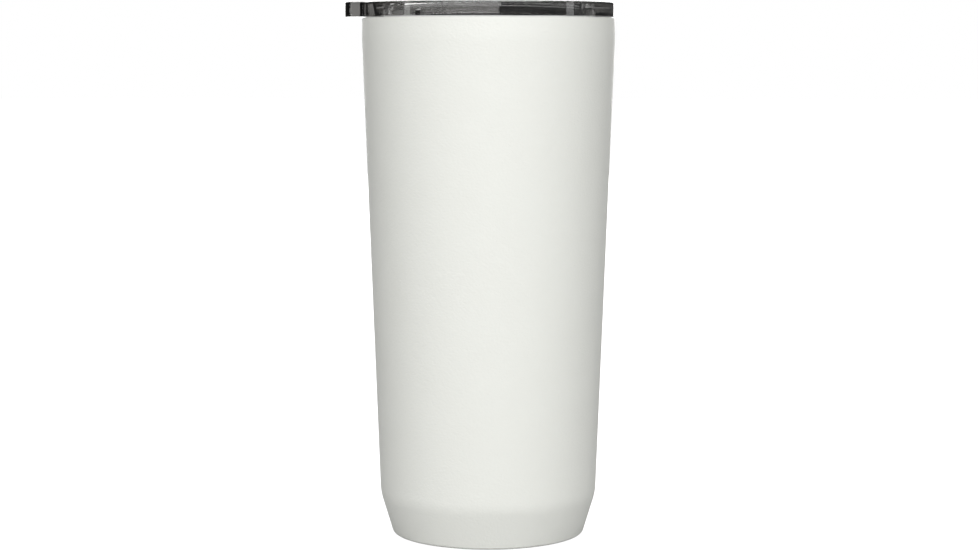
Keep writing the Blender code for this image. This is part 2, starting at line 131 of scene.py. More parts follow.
# ---- Lid ----
FLANGE_RADIUS = SHOULDER_RADIUS
FLANGE_THICKNESS = 5.12 * MM
FLANGE_EDGE = 0.4 * MM
TAB_CORNER = 4.6 * MM
TAB_HALF_WIDTH = 10.5 * MM
TAB_ROOT_BLEND = 2.5 * MM
TAB_ROOT_STEPS = 12
TAB_CORNER_STEPS = 14
DECK_DROP = 7.3 * MM  # from the lid's top down to its deck
DECK_THICKNESS = 2.2 * MM
DISH_RADIUS = 36.2 * MM
DISH_MOUTH_RADIUS = 38.0 * MM
DISH_BLEND = 2.2 * MM
DISH_RIM = 1.1 * MM
PLUG_RADIUS = 37.9 * MM
PLUG_HOLLOW_RADIUS = 34.4 * MM
PLUG_LEAD_IN = 1.0 * MM
HOLLOW_BLEND = 1.5 * MM
GROOVE_RADIUS = 36.3 * MM
FIN_WIDTH = 1.3 * MM
FIN_TIP = (0.45, 0.65)  # of the fin's width, where its tip starts and ends
FIN_TIP_BLEND = 0.12 * MM
SMALL_BLEND = 0.25 * MM
SMALL_EDGE = 0.15 * MM  # less than SMALL_BLEND, so that an inset outline keeps its corners
HOLE_EDGE = 0.45 * MM
SIP_FRONT = 30.2 * MM
SIP_LENGTH = 5.8 * MM
SIP_WIDTH = 15.0 * MM
SIP_BLEND = 2.4 * MM
STRAW_X = 12.5 * MM
STRAW_RADIUS = 4.3 * MM
VENT_X = -31.0 * MM
VENT_RADIUS = 0.8 * MM
VENT_EDGE = 0.3 * MM
RAIL_WIDTH = 2.0 * MM
RAIL_LIP = 1.0 * MM
RAIL_LIP_RISE = 2.6 * MM
RAIL_RISE = 3.6 * MM
RAIL_BACK_X = -28.0 * MM
RAIL_FRONT_X = 30.0 * MM
RAIL_ROOT = 0.5 * MM
RAIL_ROOT_BLEND = 0.45 * MM
STOP_WIDTH = 1.6 * MM
STOP_RISE = 1.6 * MM
FRONT_STOP_HALF_LENGTH = 5.0 * MM
ROOT_SINK = 0.4 * MM  # how far a rail or a stop reaches into the deck
SMOKE_COLOUR = (0.205, 0.195, 0.18)
SMOKE_DENSITY = 110.0  # each metre

# ---- Slider ----
SLIDER_CORNER = 2.0 * MM
SLIDER_FRONT_STEPS = 24
TONGUE_THICKNESS = 2.0 * MM
BODY_RISE = 4.3 * MM  # from the slider's underside to the top of its body
BODY_INSET = 0.6 * MM
BODY_EDGE = 0.7 * MM
GRIP_X = 12.0 * MM
GRIP_LENGTH = 8.0 * MM
GRIP_WIDTH = 14.0 * MM
GRIP_CORNER = 2.5 * MM
GRIP_EDGE = 0.6 * MM
GRIP_GROOVES = 3
GRIP_GROOVE_PITCH = 1.9 * MM
GRIP_GROOVE_RADIUS = 0.55 * MM
SEAL_INSET = 1.3 * MM
SEAL_POCKET = 1.0 * MM
SEAL_EDGE = 0.15 * MM

# ---- Camera ----
EYE_DISTANCE = 800 * MM
EYE_DROP = 13.0 * MM  # from the lid's top down to the camera's height
AIM_DROP = 94.1 * MM  # from the lid's top down to the height that the camera looks at
EYE_SIDE = 0.25 * MM  # how far right of the axis the camera stands
EYE_LENS = 85.17
SENSOR_WIDTH = 36
EYE_ROLL = 0.001  # radians

# ---- Studio ----
FLOOR_HALF = 6.0  # half of the floor's width
FLOOR_THICKNESS = 10 * MM
WHITE = 1.0  # the backdrop and the floor, to the camera
BURNT_WHITE = 1.2  # the backdrop, through clear plastic
FLOOR_WHITE = 0.35  # the floor, through clear plastic: the lamps add to it
SURROUNDINGS = 0.10  # the backdrop, as light on the object


# ---------------------------------------------------------------- the frame's sizes


def ring_radius(node, z, pick):
    """The outermost or innermost radius, by pick, of a turned CAD node at height z."""
    found = []
    for vertex in frame["nodes"][node].data.vertices:
        if abs(vertex.co.z - z) < SAME_HEIGHT:
            found.append(vertex.co.xy.length)
    return pick(found)


shell_low, shell_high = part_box("outer_shell")
liner_low, liner_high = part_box("inner_liner")
floor_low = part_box("liner_bottom")[0]
pad_low, pad_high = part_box("base_pad")
foil_low, foil_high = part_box("reflective_foil")
plate_low, plate_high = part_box("vacuum_plate")
bead_low, bead_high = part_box("vacuum_seal")
getter_low, getter_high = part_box("getter_pellet")
clip_low, clip_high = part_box("getter_clip")
cover_low, cover_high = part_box("base_cover")
lid_low, lid_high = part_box("lid_body")
gasket_low, gasket_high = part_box("lid_gasket")
slider_low, slider_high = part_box("slider")
seal_low, seal_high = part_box("slider_seal")

seam_radius = ring_radius("outer_shell", shell_high.z, min)
base_hole_radius = ring_radius("outer_shell", shell_low.z, min)
liner_end_radius = ring_radius("inner_liner", liner_low.z, min)
flange_z = lid_high.z - FLANGE_THICKNESS
deck_z = lid_high.z - DECK_DROP
deck_under_z = deck_z - DECK_THICKNESS
rail_inside_y = slider_high.y + GAP


# ---------------------------------------------------------------- outlines


def rounded(corners, closed=False):
    """Points along straight runs between corners, each an (x, y) or an (x, y, blend radius)."""
    points = []
    count = len(corners)
    for index, corner in enumerate(corners):
        here = np.array(corner[:2], float)
        radius = corner[2] if len(corner) == 3 else 0
        if radius == 0 or (not closed and index in (0, count - 1)):
            points.append(tuple(here))
            continue
        back = np.array(corners[index - 1][:2]) - here
        ahead = np.array(corners[(index + 1) % count][:2]) - here
        back /= np.linalg.norm(back)
        ahead /= np.linalg.norm(ahead)
        opening = math.acos(np.clip(back @ ahead, -1, 1))
        middle = (back + ahead) / np.linalg.norm(back + ahead)
        centre = here + middle * radius / math.sin(opening / 2)
        start = here + back * radius / math.tan(opening / 2) - centre
        end = here + ahead * radius / math.tan(opening / 2) - centre
        turn = math.pi - opening
        steps = max(3, math.ceil(turn / (2 * math.acos(1 - FLATNESS / radius))))
        for step in range(steps + 1):
            share = step / steps
            spoke = start * math.sin((1 - share) * turn) + end * math.sin(share * turn)
            points.append(tuple(centre + spoke / math.sin(turn)))
    return points


def offset(path, distance, closed=False):
    """The path moved sideways by distance, to the left of its direction of travel."""
    path = np.array(path, float)
    ends = np.roll(path, -1, axis=0) if closed else path[1:]
    runs = ends - path[: len(ends)]
    runs /= np.linalg.norm(runs, axis=1)[:, None]
    normals = np.stack([-runs[:, 1], runs[:, 0]], axis=1)
    if closed:
        before, after = np.roll(normals, 1, axis=0), normals
    else:
        before = np.vstack([normals[:1], normals])
        after = np.vstack([normals, normals[-1:]])
    miter = before + after
    miter /= (1 + (before * after).sum(axis=1))[:, None]
    return [tuple(point) for point in path + distance * miter]


def arc(centre, radius, start, end, steps):
    """Points on an arc, from one angle to another."""
    turns = [start + (end - start) * step / steps for step in range(steps + 1)]
    return [(centre[0] + radius * math.cos(t), centre[1] + radius * math.sin(t)) for t in turns]


def rectangle(low_x, high_x, half_width, blend):
    """A rectangle with rounded corners, centred across X."""
    corners = [(low_x, -half_width), (high_x, -half_width), (high_x, half_width), (low_x, half_width)]
    return rounded([(x, y, blend) for x, y in corners], closed=True)


def soft_levels(low, high, edge, steps=5):
    """The (inset, height) levels of a plate whose lower and upper edges are rounded."""
    lower = []
    for step in range(steps + 1):
        turn = math.pi / 2 * step / steps
        lower.append((edge * (1 - math.sin(turn)), low + edge * (1 - math.cos(turn))))
    return lower + [(inset, low + high - height) for inset, height in reversed(lower)]


def flared_levels(low, high, edge, reach=MM):
    """The levels of a cutter that leaves rounded edges at low and high, and runs on past them."""
    inner = [(-inset, height) for inset, height in soft_levels(low, high, edge)]
    return [(-edge, low - reach)] + inner + [(-edge, high + reach)]


# ---------------------------------------------------------------- meshes


def mesh_from_rings(name, rings, closed=False):
    """A solid through rings of points, where a ring has as many points as the next, or just one.
    Closed rings lead back to the first; otherwise the first and last are capped."""
    shape = bmesh.new()
    loops = [[shape.verts.new(point) for point in ring] for ring in rings]
    following = loops[1:] + loops[:1] if closed else loops[1:]
    for upper, lower in zip(loops, following):
        for i in range(max(len(upper), len(lower))):
            j = i + 1
            corners = [upper[i % len(upper)], upper[j % len(upper)]]
            corners += [lower[j % len(lower)], lower[i % len(lower)]]
            shape.faces.new(list(dict.fromkeys(corners)))
    if not closed:
        for loop in (loops[0], loops[-1]):
            if len(loop) > 1:
                shape.faces.new(loop)
    bmesh.ops.recalc_face_normals(shape, faces=shape.faces)
    mesh = bpy.data.meshes.new(name)
    shape.to_mesh(mesh)
    shape.free()
    obj = bpy.data.objects.new(name, mesh)
    bpy.context.scene.collection.objects.link(obj)
    return obj


EVEN_TURNS = [2 * math.pi * i / AROUND for i in range(AROUND)]


def circle(radius, z, turns=EVEN_TURNS):
    """A ring of points at the given turns, or just one point on the axis."""
    if radius < POINT_SIZE:
        return [(0, 0, z)]
    return [(radius * math.cos(turn), radius * math.sin(turn), z) for turn in turns]


def turned(name, section, closed=True):
    """A solid of revolution from a section of (radius, z)."""
    return mesh_from_rings(name, [circle(r, z) for r, z in section], closed)


def loft(name, outline, levels, axis="Z"):
    """A solid along an axis, from a closed outline and one (inset, distance along) for each ring."""
    rings = []
    for inset, along in levels:
        ring = offset(outline, inset, closed=True)
        if axis == "Z":
            rings.append([(u, v, along) for u, v in ring])
        elif axis == "X":
            rings.append([(along, u, v) for u, v in ring])
        else:
            rings.append([(u, along, v) for u, v in ring])
    return mesh_from_rings(name, rings)


def apply_modifiers(obj):
    bpy.context.view_layer.update()
    evaluated = obj.evaluated_get(bpy.context.evaluated_depsgraph_get())
    mesh = bpy.data.meshes.new_from_object(evaluated)
    obj.modifiers.clear()
    obj.data = mesh


def combine(obj, operation, others):
    """Applies a Boolean with each of the others to obj's mesh, and removes them."""
    for other in others:
        modifier = obj.modifiers.new(other.name, "BOOLEAN")
        modifier.operation = operation
        modifier.solver = "EXACT"
        modifier.object = other
    apply_modifiers(obj)
    for other in others:
        bpy.data.objects.remove(other)


def dress(obj, material, body, node, sharp=35):
    """Smooth shading and material for obj, which is put on its body; the CAD node that it stands for is
    hidden.
    """
    obj.data.materials.clear()
    obj.data.materials.append(material)
    obj.data.shade_smooth()
    obj.data.set_sharp_from_angle(angle=math.radians(sharp))
    normals = obj.modifiers.new("Flat faces stay flat", "WEIGHTED_NORMAL")
    normals.keep_sharp = True
    apply_modifiers(obj)
    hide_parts(node)
    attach(obj, body)


# ---------------------------------------------------------------- materials


class Look:
    """Short calls for building one material's nodes. Texture coordinates are in metres."""

    def __init__(self, name):
        self.material = bpy.data.materials.new(name)
        self.material.use_nodes = True
        self.tree = self.material.node_tree
        self.shader = self.tree.nodes["Principled BSDF"]
        self.output = self.tree.nodes["Material Output"]
        self.place = self.add("ShaderNodeTexCoord").outputs["Object"]

    def add(self, kind, **values):
        node = self.tree.nodes.new(kind)
        for name, value in values.items():
            setattr(node, name, value)
        return node

    def feed(self, socket, value):
        """Sets a socket, or links to it if value is another node's output."""
        if isinstance(value, bpy.types.NodeSocket):
            self.tree.links.new(value, socket)
        elif isinstance(value, tuple) and socket.type == "RGBA":
            socket.default_value = (*value, 1)
        else:
            socket.default_value = value

    def stretched(self, scale):
        """The place on the object, scaled on each axis."""
        node = self.add("ShaderNodeMapping")
        node.inputs["Scale"].default_value = scale
        self.feed(node.inputs["Vector"], self.place)
        return node.outputs["Vector"]

    def noise(self, scale, detail=2.0, roughness=0.5, place=None):
        node = self.add("ShaderNodeTexNoise")
        node.inputs["Scale"].default_value = scale
        node.inputs["Detail"].default_value = detail
        node.inputs["Roughness"].default_value = roughness
        self.feed(node.inputs["Vector"], place or self.place)
        return node.outputs["Fac"]

    def math(self, operation, first, second=0.0):
        node = self.add("ShaderNodeMath", operation=operation)
        self.feed(node.inputs[0], first)
        self.feed(node.inputs[1], second)
        return node.outputs["Value"]

    def span(self, value, low, high):
        """A noise value spread over the range from low to high."""
        node = self.add("ShaderNodeMapRange")
        node.inputs["From Min"].default_value = 0.3
        node.inputs["From Max"].default_value = 0.7
        node.inputs["To Min"].default_value = low
        node.inputs["To Max"].default_value = high
        self.feed(node.inputs["Value"], value)
        return node.outputs["Result"]

    def tint(self, value, low, high):
        """A colour between two, by a noise value."""
        node = self.add("ShaderNodeValToRGB")
        ramp = node.color_ramp.elements
        ramp[0].position = 0.3
        ramp[0].color = (*low, 1)
        ramp[1].position = 0.7
        ramp[1].color = (*high, 1)
        self.feed(node.inputs["Fac"], value)
        return node.outputs["Color"]

    def bump(self, height, distance, strength=1.0):
        node = self.add("ShaderNodeBump")
        node.inputs["Strength"].default_value = strength
        node.inputs["Distance"].default_value = distance
        self.feed(node.inputs["Height"], height)
        return node.outputs["Normal"]

    def finish(self, **values):
        """Sets or links the shader's sockets, named with _ for a space. Returns the material."""
        for name, value in values.items():
            self.feed(self.shader.inputs[name.replace("_", " ")], value)
        return self.material


def powder_coat():
    """Off-white powder coat. Its fine ripple is longer round the wall than up it."""
    look = Look("powder_coat_white")
    ripple = look.noise(1100, detail=1.5, place=look.stretched((1, 1, 1.2)))
    peel = look.noise(330, detail=1.0)
    tone = look.noise(55, detail=3.0)
    height = look.math("ADD", look.math("MULTIPLY", ripple, 0.55), look.math("MULTIPLY", peel, 0.45))
    return look.finish(
        Base_Color=look.tint(tone, (0.803, 0.811, 0.765), (0.809, 0.818, 0.773)),
        Roughness=look.span(ripple, 0.46, 0.52),
        Normal=look.bump(height, 0.14 * MM),
        IOR=1.5,
    )


def turned_steel():
    """Stainless steel with fine lines round it and faint smudges."""
    look = Look("turned_steel")
    parts = look.add("ShaderNodeSeparateXYZ")
    look.feed(parts.inputs["Vector"], look.place)
    x, y, z = parts.outputs
    radius = look.math("SQRT", look.math("ADD", look.math("MULTIPLY", x, x), look.math("MULTIPLY", y, y)))
    join = look.add("ShaderNodeCombineXYZ")
    look.feed(join.inputs["X"], look.math("MULTIPLY", x, 20.0))
    look.feed(join.inputs["Y"], look.math("MULTIPLY", y, 20.0))
    look.feed(join.inputs["Z"], look.math("MULTIPLY", look.math("ADD", radius, z), 2400.0))
    lines = look.noise(1.0, detail=3.0, roughness=0.65, place=join.outputs["Vector"])
    smudge = look.noise(48, detail=3.0)
    return look.finish(
        Base_Color=look.tint(smudge, (0.58, 0.57, 0.55), (0.64, 0.63, 0.61)),
        Roughness=look.math("ADD", look.span(lines, 0.20, 0.34), look.span(smudge, -0.02, 0.05)),
        Metallic=1.0,
        Normal=look.bump(lines, 0.02 * MM),
    )


def pressed_steel(name, low, high):
    """Bare sheet steel with a mill finish."""
    look = Look(name)
    grain = look.noise(1400, detail=2.0, place=look.stretched((1, 0.12, 1)))
    patch = look.noise(70, detail=3.0)
    return look.finish(
        Base_Color=look.tint(patch, low, high),
        Roughness=look.span(grain, 0.26, 0.42),
        Metallic=1.0,
        Normal=look.bump(grain, 0.02 * MM),
    )


def crinkled_foil():
    """Thin aluminium, creased by being wrapped by hand."""
    look = Look("crinkled_foil")
    crease = look.add("ShaderNodeTexVoronoi")
    crease.inputs["Scale"].default_value = 170
    look.feed(crease.inputs["Vector"], look.place)
    fine = look.noise(500)
    return look.finish(
        Base_Color=look.tint(fine, (0.73, 0.74, 0.74), (0.86, 0.87, 0.87)),
        Roughness=look.span(fine, 0.14, 0.28),
        Metallic=1.0,
        Normal=look.bump(crease.outputs["Distance"], 0.4 * MM),
    )


def moulded(name, low, high, rough, grain=1600, depth=0.03 * MM):
    """Plastic or rubber with a fine moulded grain and faint rubbed patches."""
    look = Look(name)
    fine = look.noise(grain)
    patch = look.noise(85, detail=4.0)
    rubbed = look.span(patch, -0.04, 0.04)
    return look.finish(
        Base_Color=look.tint(patch, low, high),
        Roughness=look.math("ADD", look.span(fine, rough - 0.05, rough + 0.05), rubbed),
        Normal=look.bump(fine, depth),
    )


def smoke_plastic():
    """Clear plastic whose smoke tint deepens with its thickness."""
    look = Look("smoke_plastic")
    haze = look.noise(260, detail=2.0)
    tint = look.add("ShaderNodeVolumeAbsorption")
    tint.inputs["Color"].default_value = (*SMOKE_COLOUR, 1)
    tint.inputs["Density"].default_value = SMOKE_DENSITY
    look.feed(look.output.inputs["Volume"], tint.outputs["Volume"])
    return look.finish(
        Base_Color=(0.95, 0.95, 0.95),
        Roughness=look.span(haze, 0.0, 0.012),
        IOR=1.54,
        Transmission_Weight=1.0,
    )


def sealing_glass():
    """Dark glass bead, a little rippled from melting."""
    look = Look("sealing_glass")
    ripple = look.noise(420)
    return look.finish(
        Base_Color=look.tint(ripple, (0.05, 0.07, 0.055), (0.09, 0.12, 0.10)),
        Roughness=look.span(ripple, 0.06, 0.16),
        Normal=look.bump(ripple, 0.1 * MM),
    )


# ---------------------------------------------------------------- cup


def make_shell():
    """Coated outer wall, from the weld on the lip down to the hole in its turned-in foot."""
    outside = rounded(
        [
            (seam_radius, shell_high.z),
            (LIP_RADIUS, shell_high.z, LIP_BLEND),
            (SHOULDER_RADIUS, shell_high.z - SHOULDER_DROP, SHOULDER_BLEND),
            (KNEE_RADIUS, shell_low.z + KNEE_RISE, KNEE_BLEND),
            (FOOT_RADIUS, shell_low.z, FOOT_BLEND),
            (base_hole_radius, shell_low.z),
        ]
    )
    shell = turned("coated_shell", outside + offset(outside, -SHELL_WALL)[::-1])
    dress(shell, powder_coat(), "cup", "outer_shell")


def make_liner(steel):
    """Liner wall with its rolled lip, and the pressed floor that is welded into it."""
    inside = rounded(
        [
            (seam_radius - SEAM, liner_high.z),
            (MOUTH_RADIUS, liner_high.z, MOUTH_BLEND),
            (liner_end_radius, liner_low.z),
        ]
    )
    wall = turned("liner_wall", inside + offset(inside, LINER_WALL)[::-1])
    dress(wall, steel, "cup", "inner_liner")
    rim_z = liner_low.z - SEAM
    base_z = floor_low.z + LINER_WALL
    slope = (MOUTH_RADIUS - liner_end_radius) / (liner_high.z - liner_low.z)
    top = rounded(
        [
            (liner_end_radius - slope * SEAM, rim_z),
            (liner_end_radius - slope * (rim_z - base_z), base_z, FLOOR_BLEND),
            (FLOOR_STEP_RADIUS, base_z, FLOOR_STEP_BLEND),
            (FLOOR_STEP_RADIUS - FLOOR_STEP_RUN, base_z + FLOOR_STEP, FLOOR_STEP_BLEND),
            (0, base_z + FLOOR_STEP),
        ]
    )
    under = offset(top, LINER_WALL)
    floor = turned("liner_floor", top[::-1] + under, closed=False)
    dress(floor, steel, "cup", "liner_bottom")


def make_pad():
    """Silicone disc with concentric grooves in the face that it stands on."""
    low, high = pad_low.z, pad_high.z
    radius = pad_high.x
    corners = [(0, high), (radius, high, PAD_EDGE), (radius, low, PAD_EDGE)]
    depth = low + PAD_GROOVE_DEPTH
    for groove in PAD_GROOVES:
        outer = groove + PAD_GROOVE_WIDTH / 2
        inner = groove - PAD_GROOVE_WIDTH / 2
        corners += [(outer, low, PAD_GROOVE_BLEND), (outer, depth, PAD_GROOVE_BLEND)]
        corners += [(inner, depth, PAD_GROOVE_BLEND), (inner, low, PAD_GROOVE_BLEND)]
    corners += [(PAD_HOLLOW_RADIUS, low, PAD_GROOVE_BLEND)]
    corners += [(PAD_HOLLOW_RADIUS - PAD_GROOVE_DEPTH, depth, PAD_GROOVE_BLEND), (0, depth)]
    pad = turned("silicone_foot", rounded(corners), closed=False)
    silicone = moulded("base_silicone", (0.38, 0.39, 0.38), (0.46, 0.47, 0.46), 0.68)
    dress(pad, silicone, "cup", "base_pad")


# ---------------------------------------------------------------- inside the double wall


def make_foil():
    """Reflective wrap round the liner, with shallow creases that run across each other."""
    rings = []
    for pick, rows in ((max, range(FOIL_ROWS, -1, -1)), (min, range(FOIL_ROWS + 1))):
        base = ring_radius("reflective_foil", foil_low.z, pick)
        flare = ring_radius("reflective_foil", foil_high.z, pick) - base
        for row in rows:
            z = foil_low.z + (foil_high.z - foil_low.z) * row / FOIL_ROWS
            ring = []
            for step in range(FOIL_FACETS):
                turn = 2 * math.pi * step / FOIL_FACETS
                crease = sum(math.sin(count * turn + lean * z / MM) for count, lean in FOIL_WAVES)
                radius = base + flare * row / FOIL_ROWS + FOIL_CREASE * crease / len(FOIL_WAVES)
                ring.append((radius * math.cos(turn), radius * math.sin(turn), z))
            rings.append(ring)
    foil = mesh_from_rings("heat_foil_wrap", rings, closed=True)
    dress(foil, crinkled_foil(), "cup", "reflective_foil")


def make_vacuum_plate(steel):
    """Pressed disc with a raised middle, and a dimple round the port at its centre."""
    taper = (KNEE_RADIUS - FOOT_RADIUS) / KNEE_RISE
    rim_z = plate_high.z - PLATE_WALL * math.sin(math.atan(taper))
    rim = ring_radius("vacuum_plate", rim_z, max)
    edge = rim - taper * (rim_z - plate_low.z)
    middle_z = plate_low.z + PLATE_STEP
    dimple_z = bead_high.z + GAP
    under = rounded(
        [
            (rim, rim_z),
            (edge, plate_low.z, PLATE_EDGE_BLEND),
            (PLATE_STEP_RADIUS, plate_low.z, PLATE_STEP_BLEND),
            (PLATE_STEP_RADIUS - PLATE_STEP_RUN, middle_z, PLATE_STEP_BLEND),
            (DIMPLE_RADIUS, middle_z, DIMPLE_BLEND),
            (DIMPLE_RADIUS - DIMPLE_RUN, dimple_z, DIMPLE_BLEND),
            (PORT_RADIUS, dimple_z),
        ]
    )
    plate = turned("vacuum_disc", under + offset(under, -PLATE_WALL)[::-1])
    dress(plate, steel, "cup", "vacuum_plate")


def make_bead():
    """Glass that was melted over the port."""
    low, high = bead_low.z, bead_high.z
    waist = (BEAD_WAIST * BEAD_RADIUS, low + BEAD_WAIST_RISE * (high - low), BEAD_BLEND)
    section = rounded([(0, high), (BEAD_RADIUS, high, BEAD_BLEND), waist, (0, low)])
    bead = turned("glass_bead", section, closed=False)
    dress(bead, sealing_glass(), "cup", "vacuum_seal")


def make_getter(steel):
    """Sintered pellet, and the bent strap over it whose feet are welded to the plate."""
    x = (getter_low.x + getter_high.x) / 2
    radius = (getter_high.x - getter_low.x) / 2
    low, high = getter_low.z, getter_high.z
    outline = arc((x, 0), radius, 0, 2 * math.pi, FINE_FACETS)[:-1]
    pellet = loft("getter_disc", outline, soft_levels(low, high, GETTER_EDGE))
    dark, pale = (0.24, 0.23, 0.22), (0.36, 0.35, 0.34)
    sintered = moulded("sintered_metal", dark, pale, 0.8, grain=900, depth=0.1 * MM)
    dress(pellet, sintered, "cup", "getter_pellet")
    foot = clip_high.y
    step = radius + GAP
    under = rounded(
        [
            (-foot, low),
            (-step - CLIP_WALL, low, CLIP_BEND - CLIP_WALL),
            (-step, high + GAP, CLIP_BEND),
            (step, high + GAP, CLIP_BEND),
            (step + CLIP_WALL, low, CLIP_BEND - CLIP_WALL),
            (foot, low),
        ]
    )
    section = under + offset(under, CLIP_WALL)[::-1]
    clip = loft("getter_strap", section, [(0, clip_low.x), (0, clip_high.x)], axis="X")
    dress(clip, steel, "cup", "getter_clip")


def make_cover(steel):
    """Steel disc that closes the base."""
    radius = cover_high.x
    low, high = cover_low.z, cover_high.z
    section = rounded([(0, high), (radius, high, COVER_EDGE), (radius, low, COVER_EDGE), (0, low)])
    cover = turned("base_disc", section, closed=False)
    dress(cover, steel, "cup", "base_cover")


def make_hidden_pieces():
    steel = pressed_steel("mill_steel", (0.55, 0.54, 0.52), (0.64, 0.63, 0.61))
    make_foil()
    make_vacuum_plate(steel)
    make_bead()
    make_getter(steel)
    make_cover(steel)


# ---------------------------------------------------------------- lid


def flange_plan():
    """The flange's outline with its thumb tab on -X, and the turn at which each of its points sits
    on the circles inside it. The outline runs counterclockwise from one root of the tab."""
    root_y = TAB_HALF_WIDTH + TAB_ROOT_BLEND
    root_turn = math.asin(root_y / (FLANGE_RADIUS + TAB_ROOT_BLEND))
    root_x = -(FLANGE_RADIUS + TAB_ROOT_BLEND) * math.cos(root_turn)
    corner_x = lid_low.x + TAB_CORNER
    corner_y = TAB_HALF_WIDTH - TAB_CORNER
    upper = arc((root_x, root_y), TAB_ROOT_BLEND, -root_turn, -math.pi / 2, TAB_ROOT_STEPS)
    upper += arc((corner_x, corner_y), TAB_CORNER, math.pi / 2, math.pi, TAB_CORNER_STEPS)
    upper += [(lid_low.x, 0.5 * corner_y)]
    tab = upper + [(lid_low.x, 0)] + [(x, -y) for x, y in reversed(upper)]
    body = arc((0, 0), FLANGE_RADIUS, root_turn - math.pi, math.pi - root_turn, AROUND)[1:-1]
    lengths = np.cumsum([0] + [math.dist(a, b) for a, b in zip(tab, tab[1:])])
    tab_turns = [math.pi - root_turn + 2 * root_turn * length / lengths[-1] for length in lengths]
    body_turns = [math.atan2(y, x) for x, y in body]
    return tab + body, tab_turns + body_turns


def make_lid_blank():
    """The lid before its rails and openings: deck, dish, flange with tab, and the grooved plug."""
    plan, turns = flange_plan()
    dish = rounded(
        [
            (0, deck_z),
            (DISH_RADIUS, deck_z, DISH_BLEND),
            (DISH_MOUTH_RADIUS, lid_high.z, DISH_RIM),
            (FLANGE_RADIUS, lid_high.z),
        ]
    )[:-1]
    groove_low = gasket_low.z - GAP
    groove_high = gasket_high.z + GAP
    plug = rounded(
        [
            (FLANGE_RADIUS, flange_z),
            (PLUG_RADIUS, flange_z, SMALL_BLEND),
            (PLUG_RADIUS, groove_high, SMALL_BLEND),
            (GROOVE_RADIUS, groove_high, SMALL_BLEND),
            (GROOVE_RADIUS, groove_low, SMALL_BLEND),
            (PLUG_RADIUS, groove_low, SMALL_BLEND),
            (PLUG_RADIUS, lid_low.z + 2 * PLUG_LEAD_IN, PLUG_LEAD_IN),
            (PLUG_RADIUS - PLUG_LEAD_IN, lid_low.z, SMALL_BLEND),
            (PLUG_HOLLOW_RADIUS, lid_low.z, 2 * SMALL_BLEND),
            (PLUG_HOLLOW_RADIUS, deck_under_z, HOLLOW_BLEND),
            (0, deck_under_z),
        ]
    )[1:]
    rings = [circle(radius, z, turns) for radius, z in dish]
    for inset, z in reversed(soft_levels(flange_z, lid_high.z, FLANGE_EDGE)):
        rings.append([(x, y, z) for x, y in offset(plan, inset, closed=True)])
    rings += [circle(radius, z, turns) for radius, z in plug]
    return mesh_from_rings("smoke_lid", rings)


def make_rail(side):
    """One of the two guides on the deck, with a lip over the slider's tongue."""
    inside = rail_inside_y
    outside = inside + RAIL_WIDTH
    top = deck_z + RAIL_RISE
    lip_z = deck_z + RAIL_LIP_RISE
    section = rounded(
        [
            (inside, deck_z - ROOT_SINK),
            (outside + RAIL_ROOT, deck_z - ROOT_SINK),
            (outside + RAIL_ROOT, deck_z),
            (outside, deck_z, RAIL_ROOT_BLEND),
            (outside, top, 2 * SMALL_BLEND),
            (inside - RAIL_LIP, top, 2 * SMALL_BLEND),
            (inside - RAIL_LIP, lip_z, SMALL_BLEND),
            (inside, lip_z, SMALL_BLEND),
        ],
        closed=True,
    )
    if side < 0:
        section = [(-y, z) for y, z in reversed(section)]
    return loft(f"rail_{side}", section, soft_levels(RAIL_BACK_X, RAIL_FRONT_X, SMALL_EDGE), axis="X")


def make_stop(name, low_x, high_x, half_length):
    """A rib across the deck that ends the slider's travel."""
    outline = rectangle(low_x, high_x, half_length, SMALL_BLEND)
    levels = soft_levels(deck_z - 2 * ROOT_SINK, deck_z + STOP_RISE, SMALL_EDGE)
    return loft(name, outline, levels)


def make_hole(name, x, radius, edge):
    """A cutter for a round hole through the deck, with rounded edges."""
    outline = arc((x, 0), radius, 0, 2 * math.pi, HOLE_FACETS)[:-1]
    return loft(name, outline, flared_levels(deck_under_z, deck_z, edge))


def make_lid(travel):
    """The lid with its rails and stops added, and its sip slot, straw hole and vent cut out."""
    lid = make_lid_blank()
    back = slider_low.x - travel - GAP
    front = slider_high.x + GAP
    raised = [make_rail(1), make_rail(-1)]
    raised.append(make_stop("back_stop", back - STOP_WIDTH, back, rail_inside_y + RAIL_WIDTH / 2))
    raised.append(make_stop("front_stop", front, DISH_RADIUS, FRONT_STOP_HALF_LENGTH))
    combine(lid, "UNION", raised)
    slot = rectangle(SIP_FRONT - SIP_LENGTH, SIP_FRONT, SIP_WIDTH / 2, SIP_BLEND)
    holes = [
        loft("sip_opening", slot, flared_levels(deck_under_z, deck_z, HOLE_EDGE)),
        make_hole("straw_opening", STRAW_X, STRAW_RADIUS, HOLE_EDGE),
        make_hole("vent", VENT_X, VENT_RADIUS, VENT_EDGE),
    ]
    combine(lid, "DIFFERENCE", holes)
    dress(lid, smoke_plastic(), "lid", "lid_body")


def make_gasket():
    """Silicone ring with two rounded fins."""
    low, high = gasket_low.z, gasket_high.z
    back = ring_radius("lid_gasket", high, min)
    front = ring_radius("lid_gasket", high, max)
    tip = gasket_high.x
    upper = [
        (back, high, SMALL_BLEND),
        (front, high, SMALL_BLEND),
        (tip, high - FIN_TIP[0] * FIN_WIDTH, FIN_TIP_BLEND),
        (tip, high - FIN_TIP[1] * FIN_WIDTH, FIN_TIP_BLEND),
        (front, high - FIN_WIDTH, SMALL_BLEND),
    ]
    lower = [(radius, low + high - z, blend) for radius, z, blend in reversed(upper)]
    ring = turned("gasket_ring", rounded(upper + lower, closed=True))
    silicone = moulded("gasket_silicone", (0.045, 0.045, 0.05), (0.075, 0.075, 0.08), 0.6)
    dress(ring, silicone, "lid", "lid_gasket")


# ---------------------------------------------------------------- slider


